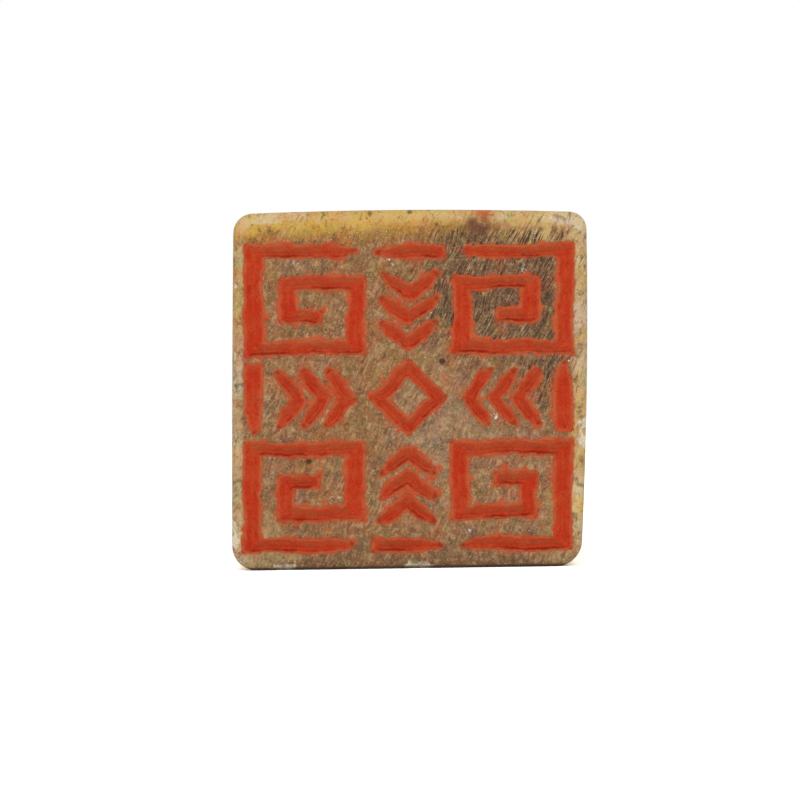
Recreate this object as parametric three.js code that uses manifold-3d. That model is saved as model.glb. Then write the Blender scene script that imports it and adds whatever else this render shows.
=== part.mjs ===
// A square stone seal, the kind that is pressed on an ink pad and then on paper. It lies on one side, as it
// is laid to show its carving: +X right, +Z up, the carved face to the front (-Y) and the plain handle end
// to the back. The origin is under the middle of the block, on the surface that it lies on. Sizes are in
// millimetres.
//
// The block is one hand-ground piece of soft stone. V-shaped cuts, made with a flat-ended knife, form an
// ornament in its face: a square fret in each corner, and between the frets a cross of bars and chevrons
// round a lozenge. Dried vermilion ink paste lines the cuts. Each unbroken deposit of it is a piece of its
// own.
import * as THREE from "three";
import { mergeVertices, toCreasedNormals } from "three/addons/utils/BufferGeometryUtils.js";
import Module from "manifold-3d";

const wasm = await Module();
wasm.setup();

// The block's outline, seen from the front. It was ground by hand, so no two sides are quite alike.
const BASE_WIDTH = 24.7;
const LEFT_HEIGHT = 25.2;
const RIGHT_HEIGHT = 25.0;
const LEFT_LEAN = 0.46; // how far a side's top lies to the right of its foot
const RIGHT_LEAN = 0.7;
const LEFT_BOW = 0.03; // how far the middle of a side swells out of its straight line
const RIGHT_BOW = 0.17;
const TOP_BOW = 0.19;
const LOWER_LEFT_RADIUS = 1.75;
const LOWER_RIGHT_RADIUS = 1.85;
const UPPER_RIGHT_RADIUS = 1.25;
const UPPER_LEFT_RADIUS = 1.4;

// Along the block
const BLOCK_LENGTH = 50;
const END_NARROWING = 0.4; // the handle end is this much narrower and lower than the carved face
const FACE_ARRIS = 0.5; // radius worn onto the edge round the carved face
const END_ARRIS = 1.1; // radius ground onto the edge round the handle end

// The cuts
const UPRIGHT_CUT = 1.35; // width at the face
const LEVEL_CUT = 1;
const SLANTED_CUT = 0.95;
const CUT_DEPTH = 0.75;
const CUT_FLOOR = 0.16; // width of the flat at the bottom
const CUT_SKEW = 0.22; // how far the bottom of a level cut lies below its middle
const END_WALL = 0.3; // run of the sloping wall where a cut stops short
const TIP_LENGTH = 1.5; // length over which the knife enters the stone
const TIP_WIDTH = 0.3;
const HAND_WANDER = 0.09; // how far a cut strays from its drawn line
const HAND_SWELL = 0.14; // share by which its width varies
const HAND_PACE = 1.8; // length of cut between one such change and the next

// The ornament
const SIDE_MARGIN = 0.8; // bare stone between the outermost cuts and the block's sides
const TOP_MARGIN = 2.2;
const BOTTOM_MARGIN = 1.2;
const FRET_LINES = 4; // parallel lines that a fret is drawn on, each way
const CHANNEL_WIDTH = 6.1; // clear width between the left and right frets, and the upper and lower ones
const BARE_STRIP = 0.55; // least bare stone between neighbouring figures
const CHEVRONS = 3; // in each arm of the cross
const CHEVRON_PITCH = 1.72; // from one chevron to the next
const CHEVRON_RISE = 1.5; // how far a chevron's ends lie behind its point

// The ink paste
const PASTE_GAP = 0.02; // between the dried paste and the stone
const PASTE_SINK = 0.03; // how far the paste's rim lies below the face
const PASTE_WALL = 0.15; // thickness of the paste at its rim, as a share of half the cut's width
const PASTE_FLOOR = 0.5; // thickness of the paste along the bottom, as a share of the cut's depth
const PASTE_END = 0.14; // how much more gently the groove ends than the cut does

// Two small natural pits, measured from the middle of the face, and chips knocked out of the worn edge
const PIT_DIAMETER = 0.56;
const PIT_DEPTH = 0.3;
const PITS = [
  [-7, -4.9],
  [2.4, 2],
];
const CHIP_RADIUS = 0.9;
const CHIP_BITE = 0.3; // how deep a chip is
const CHIPS = [
  { side: "right", along: 9.5 },
  { side: "bottom", along: 3.7 },
  { side: "bottom", along: 13.2 },
  { side: "left", along: 2.6 },
];

// Fineness of the round stretches
const CORNER_STEPS = 7;
const SIDE_STEPS = 8;
const ARRIS_STEPS = 4;
const PIT_SIDES = 12;
const CHIP_FINENESS = 3;
const CREASE = THREE.MathUtils.degToRad(30); // flatter edges than this are shaded as round

const FACE_Y = -BLOCK_LENGTH / 2;
const END_Y = BLOCK_LENGTH / 2;
const FACE_WIDTH = BASE_WIDTH + (RIGHT_LEAN - LEFT_LEAN) / 2;
const FACE_HEIGHT = (LEFT_HEIGHT + RIGHT_HEIGHT) / 2;

const soapstone = new THREE.MeshStandardMaterial({
  color: 0xa48a63,
  roughness: 0.5,
  metalness: 0,
});
const vermilion = new THREE.MeshStandardMaterial({
  color: 0xbe4224,
  roughness: 0.75,
  metalness: 0,
});

// The outline's corners, anticlockwise from the lower left, each with its radius and the bow of the side
// that leaves it.
function corners() {
  const place = (x, z) => new THREE.Vector2(x, z);
  return [
    { at: place(0, 0), radius: LOWER_LEFT_RADIUS, bow: 0 },
    { at: place(BASE_WIDTH, 0), radius: LOWER_RIGHT_RADIUS, bow: RIGHT_BOW },
    {
      at: place(BASE_WIDTH + RIGHT_LEAN, RIGHT_HEIGHT),
      radius: UPPER_RIGHT_RADIUS,
      bow: TOP_BOW,
    },
    { at: place(LEFT_LEAN, LEFT_HEIGHT), radius: UPPER_LEFT_RADIUS, bow: LEFT_BOW },
  ];
}

// The outline drawn in by inset all round, as points anticlockwise from the lower left.
function outline(inset) {
  const ring = corners();
  const after = (i) => (i + 1) % ring.length;
  const before = (i) => (i + ring.length - 1) % ring.length;
  const along = ring.map(({ at }, i) => ring[after(i)].at.clone().sub(at).normalize());
  const inward = along.map((d) => new THREE.Vector2(-d.y, d.x));
  const arcs = ring.map(({ at, radius }, i) => {
    const turn = Math.acos(along[before(i)].dot(along[i]));
    const rounding = Math.max(radius - inset, radius / 10);
    const middle = inward[before(i)].clone().add(inward[i]).normalize();
    const centre = at
      .clone()
      .addScaledVector(middle, (inset + rounding) / Math.cos(turn / 2));
    const spoke = inward[before(i)].clone().multiplyScalar(-rounding);
    return Array.from({ length: CORNER_STEPS + 1 }, (_, k) =>
      spoke
        .clone()
        .rotateAround(new THREE.Vector2(), (turn * k) / CORNER_STEPS)
        .add(centre),
    );
  });
  return arcs.flatMap((arc, i) => {
    const start = arc[CORNER_STEPS];
    const end = arcs[after(i)][0];
    const side = Array.from({ length: SIDE_STEPS - 1 }, (_, k) => {
      const t = (k + 1) / SIDE_STEPS;
      const swell = ring[i].bow * 4 * t * (1 - t);
      return start.clone().lerp(end, t).addScaledVector(inward[i], -swell);
    });
    return [...arc, ...side];
  });
}

const ACROSS = outline(0).map((p) => p.x);
const MIDDLE_X = (Math.min(...ACROSS) + Math.max(...ACROSS)) / 2;

// A point of the face from its place on an even rectangle of the same width and height, measured from the
// middle. The carver laid the ornament out from the sides, so it leans and narrows with them.
function onFace(x, z) {
  const [lowerLeft, lowerRight, upperRight, upperLeft] = corners().map(({ at }) => at);
  const across = x / FACE_WIDTH + 0.5;
  const foot = lowerLeft.clone().lerp(lowerRight, across);
  const head = upperLeft.clone().lerp(upperRight, across);
  const p = foot.lerp(head, z / FACE_HEIGHT + 0.5);
  return new THREE.Vector3(p.x - MIDDLE_X, FACE_Y, p.y);
}

// A flat ring of points, in its own plane.
function flattened(ring) {
  const normal = new THREE.Vector3();
  ring.forEach((p, i) => {
    const next = ring[(i + 1) % ring.length];
    normal.add(new THREE.Vector3().crossVectors(p, next));
  });
  const across = ring[1].clone().sub(ring[0]).normalize();
  const up = new THREE.Vector3().crossVectors(normal.normalize(), across);
  return ring.map((p) => new THREE.Vector2(p.dot(across), p.dot(up)));
}

// A closed mesh through rings of equally many points, with flat ends. The rings run anticlockwise as seen
// by someone who looks at the first one from outside.
function loft(rings) {
  const count = rings[0].length;
  const last = (rings.length - 1) * count;
  const index = [];
  for (let r = 0; r < rings.length - 1; r++)
    for (let i = 0; i < count; i++) {
      const here = r * count + i;
      const next = r * count + ((i + 1) % count);
      index.push(here, here + count, next, next, here + count, next + count);
    }
  const cap = (ring) => THREE.ShapeUtils.triangulateShape(flattened(ring), []);
  for (const [a, b, c] of cap(rings[0])) index.push(a, b, c);
  for (const [a, b, c] of cap(rings[rings.length - 1]))
    index.push(last + a, last + c, last + b);
  return new THREE.BufferGeometry().setFromPoints(rings.flat()).setIndex(index);
}

function solidOf(geometry) {
  const bare = geometry.clone();
  bare.deleteAttribute("normal");
  bare.deleteAttribute("uv");
  const merged = mergeVertices(bare, 1e-5);
  return new wasm.Manifold(
    new wasm.Mesh({
      numProp: 3,
      vertProperties: merged.attributes.position.array,
      triVerts: new Uint32Array(merged.index.array),
    }),
  );
}

function joined(solids) {
  return solids.reduce((sum, solid) => sum.add(solid));
}

function meshOf(name, solid, material) {
  const { vertProperties, triVerts } = solid.getMesh();
  const geometry = new THREE.BufferGeometry()
    .setAttribute("position", new THREE.BufferAttribute(vertProperties, 3))
    .setIndex(new THREE.BufferAttribute(triVerts, 1));
  const mesh = new THREE.Mesh(toCreasedNormals(geometry, CREASE), material);
  mesh.name = name;
  return mesh;
}

// The block before it is carved: its outline, drawn in over the worn edge at each end. It stays on the
// surface that it lies on, so it narrows from above and from both sides.
function blank() {
  const level = (y, inset) => {
    const narrowing = (END_NARROWING * (y - FACE_Y)) / BLOCK_LENGTH;
    const thinner = 1 - narrowing / FACE_WIDTH;
    const lower = 1 - narrowing / FACE_HEIGHT;
    return outline(inset).map(
      (p) => new THREE.Vector3((p.x - MIDDLE_X) * thinner, y, p.y * lower),
    );
  };
  const arris = (radius, y, out) =>
    Array.from({ length: ARRIS_STEPS + 1 }, (_, k) => {
      const a = ((Math.PI / 2) * k) / ARRIS_STEPS;
      return level(y + out * radius * Math.sin(a), radius * (1 - Math.cos(a)));
    });
  const front = arris(FACE_ARRIS, FACE_Y + FACE_ARRIS, -1).reverse();
  const back = arris(END_ARRIS, END_Y - END_ARRIS, 1);
  return solidOf(loft([...front, ...back]));
}

// A repeatable unevenness from -1 to 1, which stands for the carver's hand.
function unevenness(seed) {
  const spread = Math.sin(seed * 12.9898) * 43758.5453;
  return (spread - Math.floor(spread)) * 2 - 1;
}

// What a cut takes out of the stone, the paste that lines it, and the groove that the paste leaves open, as
// three forms of one stroke. Each has its gap to the stone, the paste left outside it at the rim and under
// it along the bottom, and how much more gently it ends than the cut does.
const CUT = { gap: 0, wall: 0, floor: 0, gentler: 0 };
const FILL = { gap: PASTE_GAP, wall: 0, floor: 0, gentler: 0 };
const GROOVE = { gap: PASTE_GAP, wall: PASTE_WALL, floor: PASTE_FLOOR, gentler: PASTE_END };

// Where along a stroke the hand changes: at its two ends, where each end's taper is over, and in between.
function stationsOf(length) {
  const tip = Math.min(TIP_LENGTH, length / 3);
  const spans = Math.max(1, Math.round((length - 2 * tip) / HAND_PACE));
  const between = Array.from(
    { length: spans + 1 },
    (_, k) => tip + ((length - 2 * tip) * k) / spans,
  );
  return [0, ...between, length];
}

// One stroke of the knife in one of those forms: a V with a narrow bottom. It starts and ends pointed or
// blunt. The knife leans down into a level stroke, so its lower wall is the steeper one, and stands square
// in an upright stroke. The walls run on out of the face, so that the mouth is where they pass through it.
function strokeSolid({ start, end, width, pointed }, seed, form) {
  const along = end.clone().sub(start).normalize();
  const aside = new THREE.Vector3(-along.z, 0, along.x);
  const inwards = new THREE.Vector3(0, 1, 0);
  const stations = stationsOf(start.distanceTo(end));
  const rings = stations.map((travel, i) => {
    const last = i === stations.length - 1;
    const closing = i === 0 ? -1 : last ? 1 : 0;
    const tapers = (i === 0 && pointed[0]) || (last && pointed[1]);
    const full = width * (1 + HAND_SWELL * unevenness(seed + i));
    const share = tapers ? TIP_WIDTH / full : 1;
    const stray = HAND_WANDER * unevenness(seed + i + 0.5);
    const inset = form.gap + (form.wall * full * share) / 2;
    const half = (full * share) / 2 - inset;
    const flat = ((CUT_FLOOR - form.gap) / 2) * share;
    const skew = -CUT_SKEW * along.x * share;
    const deep = CUT_DEPTH * share * (1 - form.floor) - form.gap;
    const rim = travel - closing * inset;
    const foot = rim - closing * (END_WALL + form.gentler) * share;
    const outwards = (mouth, bottom) => mouth + ((mouth - bottom) * CUT_DEPTH) / deep;
    const at = (s, a, d) =>
      start
        .clone()
        .addScaledVector(along, s)
        .addScaledVector(aside, a + stray)
        .addScaledVector(inwards, d);
    return [
      at(outwards(rim, foot), outwards(-half, skew - flat), -CUT_DEPTH),
      at(outwards(rim, foot), outwards(half, skew + flat), -CUT_DEPTH),
      at(foot, skew + flat, deep),
      at(foot, skew - flat, deep),
    ];
  });
  return solidOf(loft(rings));
}

// A stroke's width by its direction, because the carver held the knife otherwise for each.
const SLANT = 0.2; // rise over run, or run over rise, from which a stroke counts as slanted

function widthOf(run) {
  if (Math.abs(run.x) < SLANT * Math.abs(run.y)) return UPRIGHT_CUT;
  if (Math.abs(run.y) < SLANT * Math.abs(run.x)) return LEVEL_CUT;
  return SLANTED_CUT;
}

// The strokes of one unbroken line through points of the ornament's rectangle. Where it turns, each stroke
// runs on to the other's outer edge. An open line's two ends are pointed or blunt.
function strokesAlong(points, { closed = false, pointed = [true, false] } = {}) {
  const places = points.map(([x, z]) => new THREE.Vector2(x, z));
  const next = (i) => places[(i + 1) % places.length];
  const runs = (closed ? places : places.slice(0, -1)).map((p, i) => next(i).clone().sub(p));
  const halves = runs.map((run) => widthOf(run) / 2);
  const overlap = (i, j) => {
    const turn = Math.acos(runs[i].dot(runs[j]) / runs[i].length() / runs[j].length());
    return (halves[j] - halves[i] * Math.cos(turn)) / Math.sin(turn);
  };
  return runs.map((run, i) => {
    const first = i === 0 && !closed;
    const last = i === runs.length - 1 && !closed;
    const before = first ? 0 : overlap(i, (i + runs.length - 1) % runs.length);
    const after = last ? 0 : overlap(i, (i + 1) % runs.length);
    const way = run.clone().normalize();
    const from = places[i].clone().addScaledVector(way, -before);
    const to = next(i).clone().addScaledVector(way, after);
    return {
      start: onFace(from.x, from.y + FIELD_Z),
      end: onFace(to.x, to.y + FIELD_Z),
      width: 2 * halves[i],
      pointed: [first && pointed[0], last && pointed[1]],
    };
  });
}

// The ornament's rectangle is measured from its own middle, which lies off the face's.
const FIELD_Z = (BOTTOM_MARGIN - TOP_MARGIN) / 2;
const EDGE_X = FACE_WIDTH / 2 - SIDE_MARGIN - UPRIGHT_CUT / 2;
const EDGE_Z = (FACE_HEIGHT - TOP_MARGIN - BOTTOM_MARGIN - LEVEL_CUT) / 2;

// One of a fret's parallel lines, counted from the outermost.
function fretLine(edge, width, k) {
  const inner = (CHANNEL_WIDTH + width) / 2;
  return edge - ((edge - inner) * k) / (FRET_LINES - 1);
}

// A square fret: an unbroken line that winds inwards in one corner of the face, turn by turn.
function fret(right, up) {
  const inner = FRET_LINES - 1;
  const turns = [
    [inner, 0],
    [0, 0],
    [0, inner],
    [inner, inner],
  ];
  for (let low = 1, high = inner; low < high; low++) {
    turns.push([high, low], [low, low]);
    high -= 1;
    if (low < high) turns.push([low, high], [high, high]);
  }
  const points = turns.map(([i, j]) => [
    right * fretLine(EDGE_X, UPRIGHT_CUT, i),
    up * fretLine(EDGE_Z, LEVEL_CUT, j),
  ]);
  return strokesAlong(points);
}

// The four arms of the cross: the line that each arm's bar lies on, the bar's width, and the place of a
// point by its distance out along the arm and to one side of it.
const arms = {
  top: { edge: EDGE_Z, width: LEVEL_CUT, place: (out, aside) => [aside, out] },
  right: { edge: EDGE_X, width: UPRIGHT_CUT, place: (out, aside) => [out, -aside] },
  bottom: { edge: EDGE_Z, width: LEVEL_CUT, place: (out, aside) => [-aside, -out] },
  left: { edge: EDGE_X, width: UPRIGHT_CUT, place: (out, aside) => [-out, aside] },
};
const ARM_REACH = CHANNEL_WIDTH / 2 - BARE_STRIP;

function bar({ edge, place }) {
  return strokesAlong([place(edge, -ARM_REACH), place(edge, ARM_REACH)]);
}

// A chevron's point lies on the arm's middle line and looks inwards. The outermost chevron's ends lie next
// to the bar.
const CHEVRON_SPREAD = ARM_REACH - SLANTED_CUT / 2;

function chevronPoint({ edge, width }, k) {
  const outermost = edge - width / 2 - BARE_STRIP - SLANTED_CUT / 2 - CHEVRON_RISE;
  return outermost - (CHEVRONS - 1 - k) * CHEVRON_PITCH;
}

function chevron(arm, k) {
  const point = chevronPoint(arm, k);
  const line = [
    arm.place(point + CHEVRON_RISE, CHEVRON_SPREAD),
    arm.place(point, 0),
    arm.place(point + CHEVRON_RISE, -CHEVRON_SPREAD),
  ];
  return strokesAlong(line, { pointed: [true, true] });
}

// The lozenge takes the room that the innermost chevrons leave, and is as wide as it is high.
function lozenge() {
  const leg = Math.hypot(CHEVRON_RISE, CHEVRON_SPREAD);
  const chevronTip = ((SLANTED_CUT / 2) * leg) / CHEVRON_SPREAD;
  const lozengeTip = (SLANTED_CUT / 2) * Math.SQRT2;
  const innermost = Math.min(...Object.values(arms).map((arm) => chevronPoint(arm, 0)));
  const reach = innermost - chevronTip - BARE_STRIP - lozengeTip;
  return strokesAlong(
    Object.values(arms).map((arm) => arm.place(reach, 0)),
    { closed: true },
  );
}

// Every figure of the ornament by name, with the strokes that it is cut with.
const figures = {
  fret_upper_left: fret(-1, 1),
  fret_upper_right: fret(1, 1),
  fret_lower_left: fret(-1, -1),
  fret_lower_right: fret(1, -1),
};
for (const [name, arm] of Object.entries(arms)) {
  figures[`bar_${name}`] = bar(arm);
  for (let k = 0; k < CHEVRONS; k++) figures[`chevron_${name}_${k + 1}`] = chevron(arm, k);
}
figures.lozenge = lozenge();

// What one figure's strokes take up in one of their forms. Each stroke has a hand of its own.
const SEEDS_PER_STROKE = 10;
const allStrokes = Object.values(figures).flat();

function figureSolid(strokes, form) {
  return joined(
    strokes.map((one) => strokeSolid(one, SEEDS_PER_STROKE * allStrokes.indexOf(one), form)),
  );
}

// A cone sunk in the face up to its middle, where it is as wide as the pit.
function pit(x, z) {
  const cone = new THREE.ConeGeometry(PIT_DIAMETER, 2 * PIT_DEPTH, PIT_SIDES);
  const place = onFace(x, z);
  return solidOf(cone.translate(place.x, place.y, place.z));
}

// A scoop out of the worn edge, which is where a blow breaks the stone. Its place is measured along the
// side, from the foot of an upright side or from the left end of a level one.
function chip({ side, along }) {
  const [halfWidth, halfHeight] = [FACE_WIDTH / 2, FACE_HEIGHT / 2];
  const [place, outward] = {
    left: [onFace(-halfWidth, along - halfHeight), new THREE.Vector3(-1, -1, 0)],
    right: [onFace(halfWidth, along - halfHeight), new THREE.Vector3(1, -1, 0)],
    bottom: [onFace(along - halfWidth, -halfHeight), new THREE.Vector3(0, -1, -1)],
  }[side];
  const worn = FACE_ARRIS * (Math.SQRT2 - 1);
  const ball = new THREE.IcosahedronGeometry(CHIP_RADIUS, CHIP_FINENESS);
  place.addScaledVector(outward.normalize(), CHIP_RADIUS - CHIP_BITE - worn);
  return solidOf(ball.translate(place.x, place.y, place.z));
}

// Everything in front of the paste's rim.
function beforeTheFace() {
  const depth = 2 * CUT_DEPTH;
  const slab = new THREE.BoxGeometry(2 * FACE_WIDTH, depth, 2 * FACE_HEIGHT);
  return solidOf(slab.translate(0, FACE_Y + PASTE_SINK - depth / 2, FACE_HEIGHT / 2));
}

const marks = joined([...PITS.map(([x, z]) => pit(x, z)), ...CHIPS.map(chip)]);
const block = blank().subtract(figureSolid(allStrokes, CUT)).subtract(marks);
const front = beforeTheFace();

const seal = new THREE.Group();
seal.add(meshOf("stone_block", block, soapstone));
for (const [name, strokes] of Object.entries(figures)) {
  const fill = figureSolid(strokes, FILL);
  const paste = fill.subtract(figureSolid(strokes, GROOVE)).subtract(front);
  seal.add(meshOf(`paste_${name}`, paste, vermilion));
}

export default seal;
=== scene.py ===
"""The looks of a square stone seal that lies on its side with its carved face to the front.

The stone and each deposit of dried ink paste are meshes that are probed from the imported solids: rays find
the solid's surface, and a fine mesh is laid through the places that they hit, with the unevenness of a hand
cut, of wear and of grain added to it. Sizes are in millimetres until a mesh is made.
"""

import math

import bpy
import numpy as np
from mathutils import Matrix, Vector
from mathutils.bvhtree import BVHTree


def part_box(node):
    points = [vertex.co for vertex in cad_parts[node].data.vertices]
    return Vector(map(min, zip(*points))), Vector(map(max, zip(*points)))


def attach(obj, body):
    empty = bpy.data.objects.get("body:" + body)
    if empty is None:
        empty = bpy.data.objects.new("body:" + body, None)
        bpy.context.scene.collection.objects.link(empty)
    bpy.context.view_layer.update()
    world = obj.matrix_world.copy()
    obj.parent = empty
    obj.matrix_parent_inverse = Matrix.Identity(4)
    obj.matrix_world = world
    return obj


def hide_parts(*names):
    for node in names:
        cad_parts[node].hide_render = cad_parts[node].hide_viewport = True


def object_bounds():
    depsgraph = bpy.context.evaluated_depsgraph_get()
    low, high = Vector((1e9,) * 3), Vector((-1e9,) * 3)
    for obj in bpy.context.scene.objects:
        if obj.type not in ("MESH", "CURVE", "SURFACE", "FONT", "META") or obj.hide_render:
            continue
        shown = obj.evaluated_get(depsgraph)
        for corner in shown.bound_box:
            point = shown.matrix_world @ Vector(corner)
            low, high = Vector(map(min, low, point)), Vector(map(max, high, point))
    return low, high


MM = 0.001

# The block, as the solids have it
FACE_ARRIS = 0.5  # radius worn onto the edge round the carved face
END_ARRIS = 1.1  # radius ground onto the edge round the handle end
CLEAN_SECTION = 3.0  # distance behind the face at which no cut or chip is met

# Fineness of the meshes
FACE_CELLS = 232  # of the stone's, along each side of the carved face
FINER = 2  # how many times finer the paste's mesh is
ARRIS_RINGS = 7  # from the face round its worn edge
SIDE_RINGS = 44  # from there to the handle end, close together near the face
SIDE_CROWDING = 1.8  # 1 would space them evenly
END_RINGS = 6
OUTLINE_RAYS = 2400  # that find the stone's outline
EASING = 0.006  # share of a ring's length over which its outward direction is eased
END_EASING = 0.02  # the same for the rim of the handle end
PROBE = 6.0  # how far outside the stone a ray starts
RING_STRIDE = 16  # places of a ring that are taken as one straight run where only a distance is wanted

# The unevenness, which is the same in every run. The layers of one unevenness have seeds that follow on.
LATTICE = 257  # random values along each side of its lattice, after which it repeats
NOISE_SHIFT = (61.7, 37.3)  # keeps the block's middle off the lattice's lines
CUT_X_SEED, CUT_Z_SEED = 11, 31
FACE_SEED = 51
NICK_SEED = 71
CHIP_SEED = 75
SIDE_SEED = 91
END_SEED = 131
PASTE_SEED = 151
LAP_SEED = 171
SPUR_SEED = 191

# The carver's hand: features of the cuts' edges, each with its size and how far it shifts the edge
RAGGEDNESS = [(2.4, 0.045), (0.6, 0.035), (0.2, 0.03)]
WANDER_FADE = 0.9  # the shift dies away over this distance from the worn edge

# Unevenness of the stone's surface, each with its size and height
FACE_GRINDING = [(3.5, 0.02), (0.9, 0.012), (0.3, 0.006)]
SIDE_GRINDING = [(9.0, 0.05), (2.5, 0.02), (0.8, 0.006)]
SIDE_FADE = 1.5  # distance from the worn edge at which the sides' grinding is full
END_FADE = 2.0  # the same for the handle end
NICK_SIZE = 0.75
NICK_DEPTH = 0.16
NICK_SHARE = 0.72  # noise above this value is a nick in a worn edge
NICK_SEEN = (0.02, 0.08)  # depth from which one looks freshly broken, and at which it does most
NICK_PALE = 0.6  # how pale it is then, where a chip is 1
CHIP_GRAIN = [(0.5, 0.04), (0.2, 0.03)]
CHIP_ROUGH = (0.02, 0.1)  # depth from which a chip is rough, and at which it has all its grain
CHIP_REACH = 1.0  # how far the bruise round a chip reaches
BRUISED = 0.1  # a hollow of the face that is more bruised than this belongs to a chip and is no pit
CHIP_DEPTH = 0.06  # depth from which a place of the worn edge counts as chipped

# The paste
PASTE_BED = 0.01  # how far it reaches into the stone's pores
PASTE_GRAIN = [(0.8, 0.02), (0.3, 0.02), (0.14, 0.018)]
LAP_HEIGHT = 0.002  # of the thin film that laps over a cut's rim
LAP_SLOPE = 0.28  # how fast the film thins out
LAP_RAGGEDNESS = [(1.5, 0.04), (0.5, 0.05), (0.17, 0.035)]
LAP_REACH = 0.36
SPUR_SIZE = 0.2  # width of the film's spurs, where paste was caught by the grinding scratches
SPUR_STRETCH = 3.0  # how many times longer than wide they are
SPUR_NOISE = (0.4, 0.85)  # noise at which one starts, and has its full height
SPUR_LIFT = 0.07  # that height
TIP_SHARE = (0.42, 0.28)  # how much of a place's neighbourhood is paste where a tip starts, and is full
TIP_BLUR = 100  # how often a deposit is blurred over its neighbours to tell its tips and corners
STEEP = 2.0  # slope of a groove's lower wall from which its foot is darkened, with painted shade and caked paste
SHED = 0.9  # slope of its upper wall from which the paste fell away
MARGIN = 0.4  # how far in from a deposit's edge it is thin
STAIN_REACH = 0.95  # how far round a cut its stain can reach

# How pale the stone is worn along each side of the face, from 0 to 1, and how wide that band is
FACE_WEAR = {"bottom": (0.1, 0.3), "right": (0.8, 0.95), "top": (0.2, 0.3), "left": (0.65, 0.42)}
WEAR_FADE = (1.4, 0.2)  # shares of that width at which the wear ends, and is full
WEAR_TURN = 40  # the next side's wear mixes in within a 40th of the ring from a corner
EDGE_WEAR = (0.6, 0.7)  # paleness and width for the block's long edges
END_WEAR = (0.6, 1.0)  # the same for the edge of the handle end

# The camera, as the photograph was taken: straight at the face
PICTURE = 800  # pixels across
SCALE = 14.2  # pixels for each millimetre of the face
FACE_CENTRE = (409.3, 389.0)  # its place in the picture
ROLL = math.radians(0.816)  # the block's foot rises to the right
LENS = 200.0
SENSOR = 36.0  # its width

# The floor and the light
FLOOR = 2.0  # from the middle to its edge, in metres
FLOOR_LIT = 0.8  # its grey, for the light that it throws back onto the block
FLOOR_SEEN = 2.2  # the same for the camera, so that it is white round the shadow
WORLD_LIT = 0.6  # strength of the background's light, where what is seen of it has a strength of 1
LAMPS = {  # place in metres, size in metres, power in watts
    "key": ((-0.05, -0.5, 0.3), 0.4, 1.1),
    "fill": ((0.2, -0.5, 0.12), 0.4, 0.35),
}


def colour(red, green, blue):
    """A colour as a screen shows it, from 0 to 255, turned into the linear one that a shader takes."""
    linear = [
        c / 12.92 if c <= 0.04045 else ((c + 0.055) / 1.055) ** 2.4
        for c in (red / 255, green / 255, blue / 255)
    ]
    return (*linear, 1.0)


# The stone's colours
BROWN = colour(133, 89, 49)
TAN = colour(151, 106, 57)
GREY_BROWN = colour(136, 99, 68)
OLIVE = colour(146, 114, 60)
PALE_GREY = colour(162, 132, 96)
DARK_BROWN = colour(110, 80, 54)
OCHRE = colour(164, 112, 36)
# Yellowed patches, and partly painted light in the band along the top edge
YELLOW = colour(212, 164, 58)
PALE_OLIVE = colour(172, 144, 94)
PINK_GREY = colour(150, 108, 80)
MAUVE_GREY = colour(142, 110, 90)
SIDE_OCHRE = colour(184, 140, 80)
SIDE_YELLOW = colour(208, 172, 110)
SIDE_GREY = colour(188, 164, 124)
SIDE_BROWN = colour(156, 110, 62)
VEIN = colour(130, 84, 48)
PALE = colour(220, 200, 164)
# Worn edges and the upper right, and partly painted light in the thin band along the top edge
PALE_YELLOW = colour(208, 172, 104)
LIGHT_GRAIN = colour(208, 174, 122)
DARK_GRAIN = colour(88, 60, 34)
SCORED = colour(200, 164, 122)
# Dirt in scratches and pores, and also the painted shade along the block's foot
DIRT_AND_SHADE = colour(58, 38, 20)
CRYSTAL = colour(236, 228, 216)
CHIP = colour(230, 220, 200)
PIT = colour(62, 46, 28)
PURPLE = colour(98, 54, 40)
RUST = colour(178, 94, 50)
STAIN = colour(184, 78, 44)

# The paste's colours
VERMILION = colour(194, 55, 26)
LIGHT_VERMILION = colour(198, 73, 38)
DEEP_VERMILION = colour(184, 46, 22)
DUSTY_VERMILION = colour(206, 106, 70)
FILM_VERMILION = colour(192, 101, 60)
# Dark grain and specks, and also the painted shade at the paste's deepest places, its foot and its tips
DARK_VERMILION = colour(132, 34, 14)
RUBBED_VERMILION = colour(178, 98, 58)

# Patches of the face: each one's place from the middle, its radius, and how far its edge fades out
SCRATCHED = [(6.6, 7.9, 4.2, 4.0), (10.3, 1.0, 1.2, 2.5)]
SMUDGE = (8.4, 6.2, 0.7, 2.2)
PURPLE_STAIN = (5.0, 11.4, 0.3, 0.8)
RED_STAIN = (5.4, 12.5, 0.3, 0.6)
PALE_MIDDLE = (2.0, -2.0, 1.5, 3.5)
MAUVE_QUARTER = (6.0, -6.5, 4.0, 6.0)
UPPER_RIGHT = (9.6, 11.9, 1.4, 2.4)
LOWER_RIGHT = (12.0, -10.5, 1.4, 2.6)
LOWER_LEFT = (-11.5, -11.3, 1.4, 2.5)
YELLOWED = [(11.9, -7.6, 0.8, 1.8), (-11.5, -4.2, 0.5, 1.0)]
FLAWS = [(x, z, 0.04, 0.26) for x, z in ((-2.6, 12.4), (0.2, 12.5), (-12.2, 0.4))]

# How the face's colours lie along its edges
PALE_FROM = -11.5  # x of the left end of the top, where its pale sliver is widest
PALE_TO = 12.0  # the same for the right end
OCHRE_ALONG = (9.0, -5.0)  # x at which the ochre along the top starts to widen, and is widest
DARK_FOOT = (5.5, 1.8)  # heights at which the dark foot of the face ends, and is full

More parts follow.
